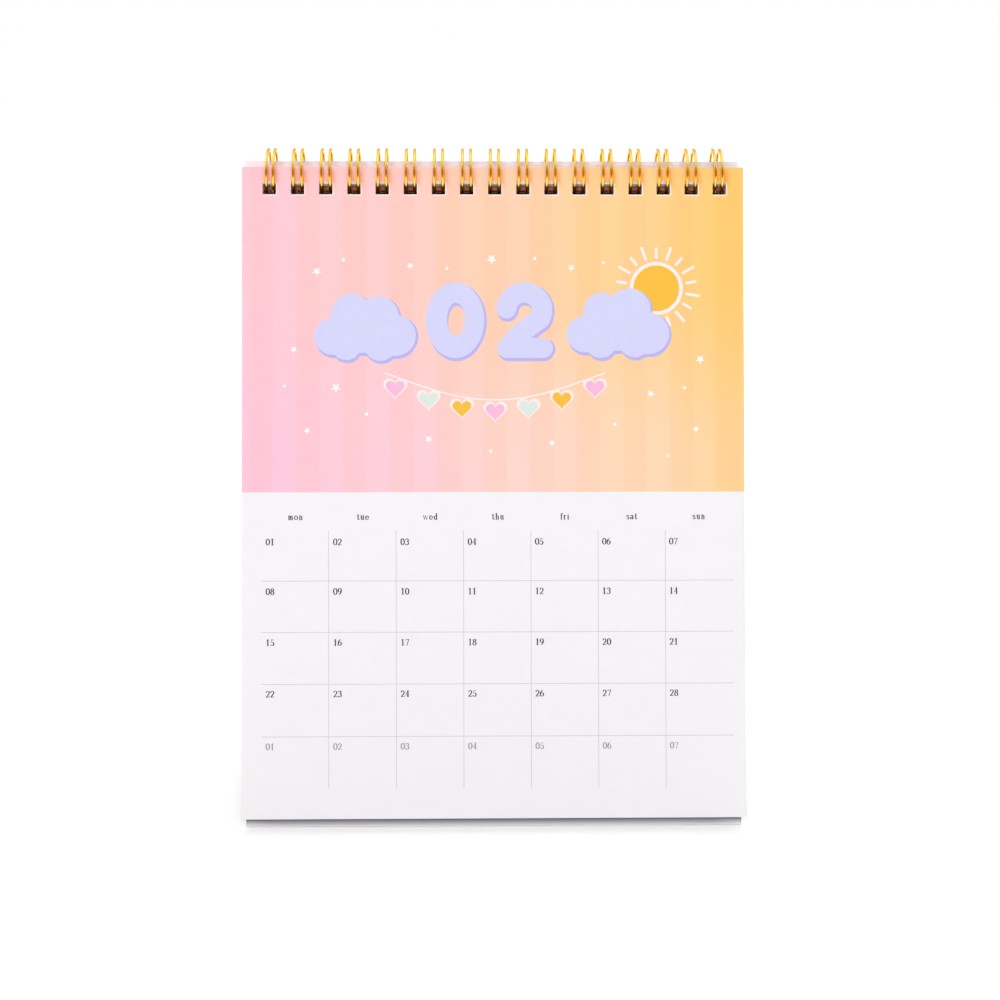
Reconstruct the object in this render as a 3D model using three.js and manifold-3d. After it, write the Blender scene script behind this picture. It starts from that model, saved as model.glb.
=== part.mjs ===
// Desk calendar: a folding cardboard stand, thirteen punched leaves and a twin-loop wire.
// Millimetres, +Z up. The calendar faces -Y, +X is to the reader's right.
// The origin is at the bottom centre of the bounding box, on the desk surface.
//
// Everything hangs on one horizontal line, the centre line of the wire loops. Each sheet is
// laid out in a side view whose origin is that line: "offset" is how far the sheet's middle
// plane passes from it, "drop" is the distance down the sheet from the foot of that offset.

import * as THREE from 'three';
import { mergeVertices, mergeGeometries } from 'three/addons/utils/BufferGeometryUtils.js';
import Module from 'manifold-3d';

const wasm = await Module();
wasm.setup();

// ---------------------------------------------------------------- driving dimensions
const LEAF_WIDTH = 151.0;          // printed leaf, across
const LEAF_HEIGHT = 195.5;         // printed leaf, down
const LEAF_THICKNESS = 0.22;       // silk-coated card
const HOLE_SIZE = 4.0;             // square punch
const HOLE_MARGIN = 4.25;          // leaf edge to hole
const HOLE_ROW_SHIFT = 0.5;        // hole row sits this far right of the leaf's middle

const LOOP_COUNT = 17;             // pairs of wire, three to the inch
const LOOP_PITCH = 8.467;
const LOOP_RADIUS = 6.65;          // centre of the wire
const WIRE_DIAMETER = 0.95;
const PAIR_SPACING = 2.5;          // between the two wires of a loop
const END_PAIR_SPACING = 2.05;     // the first and last loop are pinched a little
const END_LEAN = 0.48;             // and their tops lean this far towards the middle
const LINK_ANGLE = 6.7;            // straight links, degrees in front of straight down
const TIP_ANGLE = 5.8;             // rounded tips, degrees behind straight down
const LINK_CORNER = 0.8;           // bend radius between a link and its loops
const ARC_STEPS = 17;

const BOARD_WIDTH = 149.0;         // grey-brown board, a little narrower than the leaves
const BOARD_HEIGHT = 195.4;
const BOARD_THICKNESS = 1.5;
const FRONT_BOARD_MARGIN = 3.75;   // board edge to hole
const BACK_BOARD_MARGIN = 1.95;

const FRONT_LEAN = 14.0;           // degrees from upright
const FRONT_BOARD_OFFSET = 0.65;   // middle plane, in front of the loop centre
const FRONT_BOARD_PLAY = 0.7;      // wire centre to the top of the hole
const BACK_BOARD_OFFSET = 3.75;    // behind the loop centre
const BACK_BOARD_PLAY = 2.9;

const FEBRUARY_OFFSET = 4.69;      // front leaf
const LEAF_PITCH = 0.30;           // each leaf behind it
const FRONT_LEAF_PLAY = 1.0;        // wire centre to the top of February's holes
const LEAF_STAGGER = 0.03;         // and each leaf behind it hangs this much lower
const MARCH_HOLE_DROP = 0.43;      // holes of the leaves behind it are punched lower in the card
const LATER_HOLE_DROP = 0.60;
const COVER_OFFSET = 4.88;         // leaves already turned to the back
const COVER_PLAY = 1.05;
const JANUARY_OFFSET = 5.3;
const JANUARY_PLAY = 1.7;
const TURNED_LEAF_SHIFT = -0.2;    // turned leaves hang slightly to the left

const FLAP_THICKNESS = 1.5;
const FLAP_FRONT_GAP = 0.35;       // crease gap to the front board
const FLAP_BACK_GAP = 1.1;         // shoulder to the back board
const TAB_WIDTH = 16.0;
const TAB_SPREAD = 84.0;           // between the middles of the two tabs
const TAB_REACH = 0.35;            // tab end stops this far inside the board's outer face
const NOTCH_CLEARANCE = 0.6;       // each side of a tab
const NOTCH_HEADROOM = 0.6;        // above a tab

const FRONT_LEAVES = [
  'february_leaf', 'march_leaf', 'april_leaf', 'may_leaf', 'june_leaf', 'july_leaf',
  'august_leaf', 'september_leaf', 'october_leaf', 'november_leaf', 'december_leaf',
];

// ---------------------------------------------------------------- side-view layout
const rad = THREE.MathUtils.degToRad;
const halfLeaf = LEAF_THICKNESS / 2;
const halfBoard = BOARD_THICKNESS / 2;
const wireDrop = (offset) => Math.sqrt(LOOP_RADIUS ** 2 - offset ** 2);
const holeTop = (offset, play) => wireDrop(offset) - play;

const frontLean = rad(FRONT_LEAN);
const frontBoardHole = holeTop(FRONT_BOARD_OFFSET, FRONT_BOARD_PLAY);
const frontBoardTop = frontBoardHole - FRONT_BOARD_MARGIN;
const frontBoardBottom = frontBoardTop + BOARD_HEIGHT;

// The front board stands on its rear bottom edge, which sets the height of the loops.
const frontRearFace = FRONT_BOARD_OFFSET - halfBoard;
const LOOP_HEIGHT = frontBoardBottom * Math.cos(frontLean) - frontRearFace * Math.sin(frontLean);
const frontFootY = -frontRearFace * Math.cos(frontLean) - frontBoardBottom * Math.sin(frontLean);

// The back board stands on its inner bottom edge, which sets its lean.
const backBoardHole = holeTop(BACK_BOARD_OFFSET, BACK_BOARD_PLAY);
const backBoardTop = backBoardHole - BACK_BOARD_MARGIN;
const backBoardBottom = backBoardTop + BOARD_HEIGHT;
const backInnerFace = BACK_BOARD_OFFSET - halfBoard;
const backOuterFace = BACK_BOARD_OFFSET + halfBoard;
const backLean = Math.acos(LOOP_HEIGHT / Math.hypot(backBoardBottom, backInnerFace))
  - Math.atan2(backInnerFace, backBoardBottom);
const backFootY = backInnerFace * Math.cos(backLean) + backBoardBottom * Math.sin(backLean);

// Leaf edges that set the bounding box.
const februaryTop = holeTop(FEBRUARY_OFFSET, FRONT_LEAF_PLAY) - HOLE_MARGIN;
const frontmostY = -(FEBRUARY_OFFSET + halfLeaf) * Math.cos(frontLean)
  - (februaryTop + LEAF_HEIGHT) * Math.sin(frontLean);
const januaryTop = holeTop(JANUARY_OFFSET, JANUARY_PLAY) - HOLE_MARGIN;
const rearmostY = (JANUARY_OFFSET + halfLeaf) * Math.cos(backLean)
  + (januaryTop + LEAF_HEIGHT) * Math.sin(backLean);
const LOOP_Y = -(frontmostY + rearmostY) / 2;
const LEAF_X = -TURNED_LEAF_SHIFT / 2;           // middle of the front leaves
const LOOP_X = LEAF_X + HOLE_ROW_SHIFT;          // middle of the hole row

const loopX = (i) => LOOP_X + (i - (LOOP_COUNT - 1) / 2) * LOOP_PITCH;

// ---------------------------------------------------------------- materials
const paper = (color) => new THREE.MeshStandardMaterial({ color, roughness: 0.55, metalness: 0.0 });
const board = () => new THREE.MeshStandardMaterial({ color: 0x8a6f5a, roughness: 0.9, metalness: 0.0 });
const gold = () => new THREE.MeshStandardMaterial({ color: 0xe3b23c, roughness: 0.25, metalness: 1.0 });

// ---------------------------------------------------------------- sheets
// A closed geometry as a solid that can be cut.
function solidOf(geometry) {
  const bare = geometry.clone();
  bare.deleteAttribute('normal');
  bare.deleteAttribute('uv');
  const merged = mergeVertices(bare, 1e-5);
  return new wasm.Manifold(new wasm.Mesh({
    numProp: 3,
    vertProperties: new Float32Array(merged.attributes.position.array),
    triVerts: new Uint32Array(merged.index.array),
  }));
}

function geometryOf(solid) {
  const mesh = solid.getMesh();
  const indexed = new THREE.BufferGeometry();
  const positions = new Float32Array(mesh.numVert * 3);
  for (let v = 0; v < mesh.numVert; v += 1) {
    for (let c = 0; c < 3; c += 1) positions[3 * v + c] = mesh.vertProperties[v * mesh.numProp + c];
  }
  indexed.setAttribute('position', new THREE.BufferAttribute(positions, 3));
  indexed.setIndex(new THREE.BufferAttribute(new Uint32Array(mesh.triVerts), 1));
  const flat = indexed.toNonIndexed();
  flat.computeVertexNormals();
  return flat;
}

function slab(x0, x1, y0, y1, thickness) {
  const box = new THREE.BoxGeometry(x1 - x0, y1 - y0, thickness);
  box.translate((x0 + x1) / 2, (y0 + y1) / 2, 0);
  return box;
}

// A punched sheet in its own plane: X across, Y up the sheet, Z out of the printed face.
function punchedSheet(width, midX, top, height, thickness, holeTopDrop, shift, notches) {
  const bottom = -(top + height);
  const plate = slab(midX - width / 2, midX + width / 2, bottom, -top, thickness);
  const cutters = notches.map((notch) => slab(notch.x - notch.width / 2, notch.x + notch.width / 2,
    bottom - 1, bottom + notch.height, thickness + 1));
  for (let i = 0; i < LOOP_COUNT; i += 1) {
    const x = loopX(i) + shift;
    cutters.push(slab(x - HOLE_SIZE / 2, x + HOLE_SIZE / 2,
      -holeTopDrop - HOLE_SIZE, -holeTopDrop, thickness + 1));
  }
  return geometryOf(solidOf(plate).subtract(solidOf(mergeGeometries(cutters))));
}

function named(name, geometry, material) {
  const mesh = new THREE.Mesh(geometry, material);
  mesh.name = name;
  return mesh;
}

const calendar = new THREE.Group();

const loops = new THREE.Group();             // side-view origin: the loops' centre line
loops.position.set(0, LOOP_Y, LOOP_HEIGHT);
calendar.add(loops);

const frontSheets = new THREE.Group();       // local Z points out of the front
frontSheets.rotation.x = Math.PI / 2 - frontLean;
loops.add(frontSheets);

const backSheets = new THREE.Group();        // local Z points into the tent
backSheets.rotation.x = Math.PI / 2 + backLean;
loops.add(backSheets);

// Leaves in front of the stand, February on top.
const leafTints = [0xfbd6d2, 0xd8ead9, 0xf6dfe8, 0xdfe9f5, 0xfaf0c8, 0xcfe6ee,
  0xf7d9c4, 0xe7e0cf, 0xf0cfa8, 0xe0d3e6, 0xd5e2ea];
FRONT_LEAVES.forEach((name, k) => {
  const offset = FEBRUARY_OFFSET - k * LEAF_PITCH;
  const top = februaryTop + k * LEAF_STAGGER;
  const hole = top + HOLE_MARGIN + (k > 1 ? LATER_HOLE_DROP : k * MARCH_HOLE_DROP);
  const leaf = named(name, punchedSheet(LEAF_WIDTH, LEAF_X, top, LEAF_HEIGHT,
    LEAF_THICKNESS, hole, 0, []), paper(leafTints[k]));
  leaf.position.z = offset;
  frontSheets.add(leaf);
});

// Front board.
const frontBoard = named('stand_front_board', punchedSheet(BOARD_WIDTH, LEAF_X, frontBoardTop,
  BOARD_HEIGHT, BOARD_THICKNESS, frontBoardHole, 0, []), board());
frontBoard.position.z = FRONT_BOARD_OFFSET;
frontSheets.add(frontBoard);

// Back board, with two notches in its lower edge for the flap's tabs.
const tabXs = [LEAF_X - TAB_SPREAD / 2, LEAF_X + TAB_SPREAD / 2];
const notches = tabXs.map((x) => ({
  x,
  width: TAB_WIDTH + 2 * NOTCH_CLEARANCE,
  height: (FLAP_THICKNESS + NOTCH_HEADROOM) / Math.cos(backLean),
}));
const backBoard = named('stand_back_board', punchedSheet(BOARD_WIDTH, LEAF_X, backBoardTop,
  BOARD_HEIGHT, BOARD_THICKNESS, backBoardHole, 0, notches), board());
backBoard.position.z = -BACK_BOARD_OFFSET;
backSheets.add(backBoard);

// Cover and January, turned over the wire and hanging behind the back board.
const turned = [
  ['cover_leaf', COVER_OFFSET, COVER_PLAY, 0xd9d5f2],
  ['january_leaf', JANUARY_OFFSET, JANUARY_PLAY, 0xcfe0f2],
];
for (const [name, offset, play, tint] of turned) {
  const hole = holeTop(offset, play);
  const leaf = named(name, punchedSheet(LEAF_WIDTH, LEAF_X + TURNED_LEAF_SHIFT, hole - HOLE_MARGIN,
    LEAF_HEIGHT, LEAF_THICKNESS, hole, TURNED_LEAF_SHIFT, []), paper(tint));
  leaf.position.z = -offset;
  backSheets.add(leaf);
}

// ---------------------------------------------------------------- base flap
// Lies flat on the desk, creased to the foot of the front board, tabs in the back board's notches.
const flapFront = LOOP_Y + frontFootY + FLAP_THICKNESS * Math.tan(frontLean) + FLAP_FRONT_GAP;
const flapBack = LOOP_Y + backFootY - FLAP_THICKNESS * Math.tan(backLean) - FLAP_BACK_GAP;
const outerFootY = LOOP_Y + backOuterFace * Math.cos(backLean) + backBoardBottom * Math.sin(backLean);
const tabEnd = outerFootY - FLAP_THICKNESS * Math.tan(backLean) - TAB_REACH;
const flapLeft = LEAF_X - BOARD_WIDTH / 2;
const flapRight = LEAF_X + BOARD_WIDTH / 2;
const flapOutline = new THREE.Shape();
flapOutline.moveTo(flapLeft, flapFront);
flapOutline.lineTo(flapRight, flapFront);
flapOutline.lineTo(flapRight, flapBack);
for (const x of [...tabXs].reverse()) {
  flapOutline.lineTo(x + TAB_WIDTH / 2, flapBack);
  flapOutline.lineTo(x + TAB_WIDTH / 2 - 0.8, tabEnd);
  flapOutline.lineTo(x - TAB_WIDTH / 2 + 0.8, tabEnd);
  flapOutline.lineTo(x - TAB_WIDTH / 2, flapBack);
}
flapOutline.lineTo(flapLeft, flapBack);
flapOutline.closePath();
calendar.add(named('stand_base_flap', new THREE.ExtrudeGeometry(flapOutline,
  { depth: FLAP_THICKNESS, steps: 1, bevelEnabled: false }), board()));

// ---------------------------------------------------------------- twin-loop wire
// One wire, bent back and forth on a cylinder round the loops' centre line. The angle runs
// from straight down, round the front, over the top and down the back.
const around = (x, angle, radius) => new THREE.Vector3(
  x, LOOP_Y - radius * Math.sin(angle), LOOP_HEIGHT - radius * Math.cos(angle));

function wirePoints() {
  const points = [];
  const arcStart = rad(LINK_ANGLE) + LINK_CORNER / LOOP_RADIUS;
  const arcRadius = LOOP_RADIUS * (1 + 0.5 * (1 - Math.cos(rad(9.7))));
  for (let i = 0; i < LOOP_COUNT; i += 1) {
    const end = i === 0 || i === LOOP_COUNT - 1;
    const spacing = end ? END_PAIR_SPACING : PAIR_SPACING;
    const leanSign = i === 0 ? 1 : (i === LOOP_COUNT - 1 ? -1 : 0);
    const tipRadius = spacing / 2;
    const arcEnd = rad(360 - TIP_ANGLE) - tipRadius / LOOP_RADIUS;
    const middle = loopX(i);
    const lean = (angle) => leanSign * END_LEAN * (1 - Math.cos(angle)) / 2;
    // up the left wire
    for (let k = 0; k <= ARC_STEPS; k += 1) {
      const a = arcStart + (arcEnd - arcStart) * k / ARC_STEPS;
      points.push(around(middle - spacing / 2 + lean(a), a, arcRadius));
    }
    // round the tip
    for (let k = 1; k <= 3; k += 1) {
      const t = Math.PI * k / 4;
      const a = arcEnd + tipRadius * Math.sin(t) / LOOP_RADIUS;
      points.push(around(middle - tipRadius * Math.cos(t) + lean(a), a, LOOP_RADIUS));
    }
    // back down the right wire
    for (let k = 0; k <= ARC_STEPS; k += 1) {
      const a = arcEnd + (arcStart - arcEnd) * k / ARC_STEPS;
      points.push(around(middle + spacing / 2 + lean(a), a, arcRadius));
    }
    // along the link to the next loop
    if (i < LOOP_COUNT - 1) {
      const nextSpacing = i + 1 === LOOP_COUNT - 1 ? END_PAIR_SPACING : PAIR_SPACING;
      const from = middle + spacing / 2;
      const to = loopX(i + 1) - nextSpacing / 2;
      for (const t of [Math.PI / 4, Math.PI / 2]) {
        points.push(around(from + LINK_CORNER * (1 - Math.cos(t)),
          arcStart - LINK_CORNER * Math.sin(t) / LOOP_RADIUS, LOOP_RADIUS));
      }
      for (const t of [Math.PI / 2, Math.PI / 4]) {
        points.push(around(to - LINK_CORNER * (1 - Math.cos(t)),
          arcStart - LINK_CORNER * Math.sin(t) / LOOP_RADIUS, LOOP_RADIUS));
      }
    }
  }
  return points;
}

class BentWire extends THREE.Curve {
  constructor(points) {
    super();
    this.points = points;
    this.segments = points.length - 1;
  }

  getPoint(t, target = new THREE.Vector3()) {
    return target.copy(this.points[Math.round(t * this.segments)]);
  }

  getPointAt(u, target) {
    return this.getPoint(u, target);
  }

  getTangentAt(u, target = new THREE.Vector3()) {
    const i = Math.round(u * this.segments);
    const before = this.points[Math.max(0, i - 1)];
    const here = this.points[i];
    const after = this.points[Math.min(this.segments, i + 1)];
    const inward = here.clone().sub(before).normalize();
    const outward = after.clone().sub(here).normalize();
    return target.copy(inward.add(outward)).normalize();
  }
}

const wirePath = new BentWire(wirePoints());
const sectionSides = 5;
const sectionRadius = WIRE_DIAMETER / 2 * 1.05;
const section = new THREE.Shape(Array.from({ length: sectionSides }, (_, k) => new THREE.Vector2(
  sectionRadius * Math.cos(2 * Math.PI * k / sectionSides),
  sectionRadius * Math.sin(2 * Math.PI * k / sectionSides))));
calendar.add(named('wire_binding', new THREE.ExtrudeGeometry(section,
  { steps: wirePath.segments, extrudePath: wirePath, bevelEnabled: false }), gold()));

export default calendar;
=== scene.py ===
import math
import random
import bpy
from mathutils import Matrix, Vector
from mathutils.geometry import delaunay_2d_cdt


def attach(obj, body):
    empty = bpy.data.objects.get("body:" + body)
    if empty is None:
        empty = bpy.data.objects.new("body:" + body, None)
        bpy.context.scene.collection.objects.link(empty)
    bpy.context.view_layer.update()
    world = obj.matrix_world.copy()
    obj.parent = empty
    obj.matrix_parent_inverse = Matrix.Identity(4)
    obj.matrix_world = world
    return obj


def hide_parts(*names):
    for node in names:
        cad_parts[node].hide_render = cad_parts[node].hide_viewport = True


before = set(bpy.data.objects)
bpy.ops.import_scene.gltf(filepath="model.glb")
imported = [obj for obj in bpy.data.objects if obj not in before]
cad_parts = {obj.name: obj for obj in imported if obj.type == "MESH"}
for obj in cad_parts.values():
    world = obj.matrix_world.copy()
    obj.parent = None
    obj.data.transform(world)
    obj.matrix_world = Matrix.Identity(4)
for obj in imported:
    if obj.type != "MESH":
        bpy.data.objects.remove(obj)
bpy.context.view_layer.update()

# ------------------------------------------------------------------ dimensions, millimetres
LEAF_W, LEAF_H, LEAF_T = 151.0, 195.5, 0.22
HOLE, HOLE_MARGIN, HOLE_ROW_SHIFT = 4.0, 4.25, 0.5
LOOPS, PITCH, RADIUS, WIRE = 17, 8.467, 6.65, 0.86
PAIR, END_PAIR, END_LEAN = 2.5, 2.05, 0.48
LINK_ANGLE, TIP_ANGLE, LINK_CORNER = 6.7, 5.8, 0.8
BOARD_W, BOARD_H, BOARD_T = 149.0, 195.4, 1.5
FRONT_BOARD_MARGIN, BACK_BOARD_MARGIN = 3.75, 1.95
FRONT_LEAN = math.radians(14.0)
FRONT_BOARD, FRONT_BOARD_PLAY = 0.65, 0.7
BACK_BOARD, BACK_BOARD_PLAY = 3.75, 2.9
FEBRUARY, LEAF_PITCH, FRONT_PLAY, STAGGER = 4.69, 0.30, 1.0, 0.03
MARCH_HOLE_DROP, LATER_HOLE_DROP = 0.43, 0.60
COVER, COVER_PLAY, JANUARY, JANUARY_PLAY, TURNED_SHIFT = 4.88, 1.05, 5.3, 1.7, -0.2
FLAP_T, FLAP_FRONT_GAP, FLAP_BACK_GAP = 1.5, 0.35, 1.1
TAB_W, TAB_SPREAD, TAB_REACH, NOTCH_CLEAR, NOTCH_HEAD = 16.0, 84.0, 0.35, 0.6, 0.6


def hole_top(offset, play):
    return math.sqrt(RADIUS ** 2 - offset ** 2) - play


fb_hole = hole_top(FRONT_BOARD, FRONT_BOARD_PLAY)
fb_top = fb_hole - FRONT_BOARD_MARGIN
fb_bottom = fb_top + BOARD_H
fb_rear = FRONT_BOARD - BOARD_T / 2
LOOP_Z = fb_bottom * math.cos(FRONT_LEAN) - fb_rear * math.sin(FRONT_LEAN)
front_foot = -fb_rear * math.cos(FRONT_LEAN) - fb_bottom * math.sin(FRONT_LEAN)
bb_hole = hole_top(BACK_BOARD, BACK_BOARD_PLAY)
bb_top = bb_hole - BACK_BOARD_MARGIN
bb_bottom = bb_top + BOARD_H
bb_inner, bb_outer = BACK_BOARD - BOARD_T / 2, BACK_BOARD + BOARD_T / 2
BACK_LEAN = math.acos(LOOP_Z / math.hypot(bb_bottom, bb_inner)) - math.atan2(bb_inner, bb_bottom)
back_foot = bb_inner * math.cos(BACK_LEAN) + bb_bottom * math.sin(BACK_LEAN)
feb_top = hole_top(FEBRUARY, FRONT_PLAY) - HOLE_MARGIN
jan_top = hole_top(JANUARY, JANUARY_PLAY) - HOLE_MARGIN
LOOP_Y = -((-(FEBRUARY + LEAF_T / 2) * math.cos(FRONT_LEAN) - (feb_top + LEAF_H) * math.sin(FRONT_LEAN))
           + ((JANUARY + LEAF_T / 2) * math.cos(BACK_LEAN) + (jan_top + LEAF_H) * math.sin(BACK_LEAN))) / 2
LEAF_X = -TURNED_SHIFT / 2
LOOP_X = LEAF_X + HOLE_ROW_SHIFT


def loop_x(i):
    return LOOP_X + (i - (LOOPS - 1) / 2) * PITCH


CENTRE = Vector((0.0, LOOP_Y, LOOP_Z))
FRONT = Matrix.Translation(CENTRE) @ Matrix.Rotation(math.pi / 2 - FRONT_LEAN, 4, "X")
BACK = Matrix.Translation(CENTRE) @ Matrix.Rotation(math.pi / 2 + BACK_LEAN, 4, "X")

# ------------------------------------------------------------------ colour helpers


PAGE_LIGHT = 1.30          # light on the front leaf: a colour is divided by it to look as stated


def lin(r, g, b, gain=1.0 / PAGE_LIGHT):
    out = []
    for c in (r, g, b):
        c /= 255.0
        c = c / 12.92 if c <= 0.04045 else ((c + 0.055) / 1.055) ** 2.4
        out.append(min(1.0, c * gain))
    return (out[0], out[1], out[2], 1.0)


class Nodes:
    """A short way to write a material's node tree."""

    def __init__(self, name):
        self.mat = bpy.data.materials.new(name)
        self.mat.use_nodes = True
        self.tree = self.mat.node_tree
        self.tree.nodes.clear()
        self.out = self.new("ShaderNodeOutputMaterial")
        self.bsdf = self.new("ShaderNodeBsdfPrincipled")
        self.link(self.bsdf.outputs[0], self.out.inputs[0])

    def new(self, kind, **props):
        node = self.tree.nodes.new(kind)
        for key, value in props.items():
            setattr(node, key, value)
        return node

    def link(self, a, b):
        self.tree.links.new(a, b)

    def put(self, socket, value):
        if isinstance(value, bpy.types.NodeSocket):
            self.link(value, socket)
        else:
            socket.default_value = value

    def math(self, op, a, b=0.0, c=None, clamp=False):
        node = self.new("ShaderNodeMath", operation=op, use_clamp=clamp)
        self.put(node.inputs[0], a)
        self.put(node.inputs[1], b)
        if c is not None:
            self.put(node.inputs[2], c)
        return node.outputs[0]

    def mix(self, factor, a, b, blend="MIX"):
        node = self.new("ShaderNodeMix", data_type="RGBA", blend_type=blend)
        self.put(node.inputs[0], factor)
        self.put(node.inputs[6], a)
        self.put(node.inputs[7], b)
        return node.outputs[2]

    def ramp(self, factor, stops, mode="LINEAR"):
        node = self.new("ShaderNodeValToRGB")
        ramp = node.color_ramp
        ramp.interpolation = mode
        while len(ramp.elements) > 1:
            ramp.elements.remove(ramp.elements[-1])
        ramp.elements[0].position, ramp.elements[0].color = stops[0]
        for pos, colour in stops[1:]:
            ramp.elements.new(pos).color = colour
        self.put(node.inputs[0], factor)
        return node.outputs[0]

    def noise(self, vector, scale, detail=2.0, rough=0.5):
        node = self.new("ShaderNodeTexNoise")
        node.inputs["Scale"].default_value = scale
        node.inputs["Detail"].default_value = detail
        node.inputs["Roughness"].default_value = rough
        if vector is not None:
            self.link(vector, node.inputs["Vector"])
        return node.outputs[0]

    def coords(self):
        return self.new("ShaderNodeTexCoord").outputs["Object"]

    def bump(self, height, strength, distance):
        node = self.new("ShaderNodeBump")
        node.inputs["Strength"].default_value = strength
        node.inputs["Distance"].default_value = distance
        self.link(height, node.inputs["Height"])
        self.link(node.outputs[0], self.bsdf.inputs["Normal"])

    def finish(self, rough=None, metal=0.0, spec=0.5):
        self.bsdf.inputs["Metallic"].default_value = metal
        self.bsdf.inputs["Specular IOR Level"].default_value = spec
        if rough is not None:
            self.put(self.bsdf.inputs["Roughness"], rough)
        return self.mat


PAPER_WHITE = lin(245, 243, 246)


def sheet_coords(n, basis, left, top):
    """Millimetres across and down a sheet from its left and top edges, as two sockets."""
    inverse = basis.inverted()
    rot = inverse.to_euler()
    mapping = n.new("ShaderNodeMapping", vector_type="POINT")
    mapping.inputs["Rotation"].default_value = rot
    t = inverse.to_translation()
    mapping.inputs["Location"].default_value = (t.x / 1000, t.y / 1000, t.z / 1000)
    n.link(n.coords(), mapping.inputs["Vector"])
    split = n.new("ShaderNodeSeparateXYZ")
    n.link(mapping.outputs[0], split.inputs[0])
    u = n.math("MULTIPLY_ADD", split.outputs[0], 1000.0, -left)
    v = n.math("MULTIPLY_ADD", split.outputs[1], -1000.0, -top)
    return u, v


def card_grain(n, base, strength=0.06):
    """Silk-coated card: faint mottling in the colour, sheen and surface."""
    where = n.coords()
    cloud = n.noise(where, 260.0, 3.0, 0.55)
    fine = n.noise(where, 5200.0, 2.0, 0.6)
    tone = n.ramp(cloud, [(0.3, (0.985, 0.985, 0.988, 1)), (0.7, (1, 1, 1, 1))])
    n.put(n.bsdf.inputs["Base Color"], n.mix(1.0, base, tone, "MULTIPLY"))
    rough = n.math("MULTIPLY_ADD", cloud, 0.10, 0.50)
    n.bump(fine, strength, 0.00002)
    return rough


def plain_card(name, colour):
    n = Nodes(name)
    rough = card_grain(n, colour)
    return n.finish(rough, spec=0.25)


def printed_card(name, basis, left, top, ramp_top, ramp_bottom, boundary=97.85, stripes=0.0, glow=0.0):
    """Colour wash over the upper part of a leaf, plain card below it; glow paints a warm shadow with gold reflection
    just right of each wire.
    """
    n = Nodes(name)
    u, v = sheet_coords(n, basis, left, top)
    along = n.math("DIVIDE", u, LEAF_W)
    upper = n.ramp(along, ramp_top, "EASE")
    lower = n.ramp(along, ramp_bottom, "EASE")
    down = n.new("ShaderNodeMapRange", interpolation_type="SMOOTHSTEP")
    n.put(down.inputs[0], v)
    down.inputs[1].default_value, down.inputs[2].default_value = 30.0, 92.0
    wash = n.mix(down.outputs[0], upper, lower)
    if stripes:
        phase = n.math("MULTIPLY_ADD", u, 2 * math.pi / 14.03, -2 * math.pi * 2.3 / 14.03)
        wave = n.math("SINE", phase)
        edge = n.math("MULTIPLY_ADD", wave, 3.2, 0.5, clamp=True)      # 1 on a deeper stripe
        deep = (1.0 - 0.004 * stripes, 1.0 - 0.020 * stripes, 1.0 - 0.040 * stripes, 1)
        pale = (1.0, 1.0 + 0.020 * stripes, 1.0 + 0.040 * stripes, 1)
        wash = n.mix(1.0, wash, n.mix(edge, pale, deep), "MULTIPLY")
    # glow: painted warm shadow with gold reflection of the wires, next to the row of holes
    if glow:
        lobes = []
        for shift in (-0.70, 1.85):      # painted warm shadow with gold reflection, just right of each wire of a pair
            phase = n.math("MULTIPLY_ADD", u, 2 * math.pi / PITCH,
                           -2 * math.pi * (loop_x(8) + shift - left) / PITCH)
            lobes.append(n.math("POWER", n.math("MULTIPLY_ADD", n.math("COSINE", phase), 0.5, 0.5), 6.0))
        wire_shade_lobes = n.math("ADD", lobes[0], lobes[1])
        down = n.new("ShaderNodeMapRange", interpolation_type="SMOOTHSTEP")
        n.put(down.inputs[0], v)
        for socket, value in zip(list(down.inputs)[1:5], (-0.6, 1.9, 0.0, glow)):
            socket.default_value = value
        under = n.new("ShaderNodeMapRange", interpolation_type="SMOOTHSTEP")
        n.put(under.inputs[0], v)
        for socket, value in zip(list(under.inputs)[1:5], (4.4, 7.5, 1.0, 0.0)):
            socket.default_value = value
        painted_wire_shade = n.math("MULTIPLY", n.math("MULTIPLY", wire_shade_lobes, down.outputs[0]), under.outputs[0])
        inside = n.math("MULTIPLY", n.math("GREATER_THAN", u, loop_x(0) - left - PITCH / 2),
                        n.math("LESS_THAN", u, loop_x(LOOPS - 1) - left + PITCH / 2))
        painted_wire_shade = n.math("MULTIPLY", painted_wire_shade, inside)
        # multiply the painted wire shadow and reflection into the wash
        wash = n.mix(painted_wire_shade, wash, n.mix(1.0, wash, (0.98, 0.66, 0.40, 1), "MULTIPLY"))
    below = n.math("GREATER_THAN", v, boundary)
    colour = n.mix(below, wash, PAPER_WHITE)
    rough = card_grain(n, colour)
    return n.finish(rough, spec=0.25)


def ink(name, colour, rough=0.55):
    """Flat printing ink on card: slightly uneven density."""
    n = Nodes(name)
    where = n.coords()
    cloud = n.noise(where, 900.0, 3.0, 0.6)
    tone = n.ramp(cloud, [(0.3, (0.965, 0.965, 0.968, 1)), (0.7, (1, 1, 1, 1))])
    n.put(n.bsdf.inputs["Base Color"], n.mix(1.0, colour, tone, "MULTIPLY"))
    n.bump(n.noise(where, 5200.0, 2.0, 0.6), 0.05, 0.00002)
    return n.finish(rough, spec=0.25)


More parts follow.
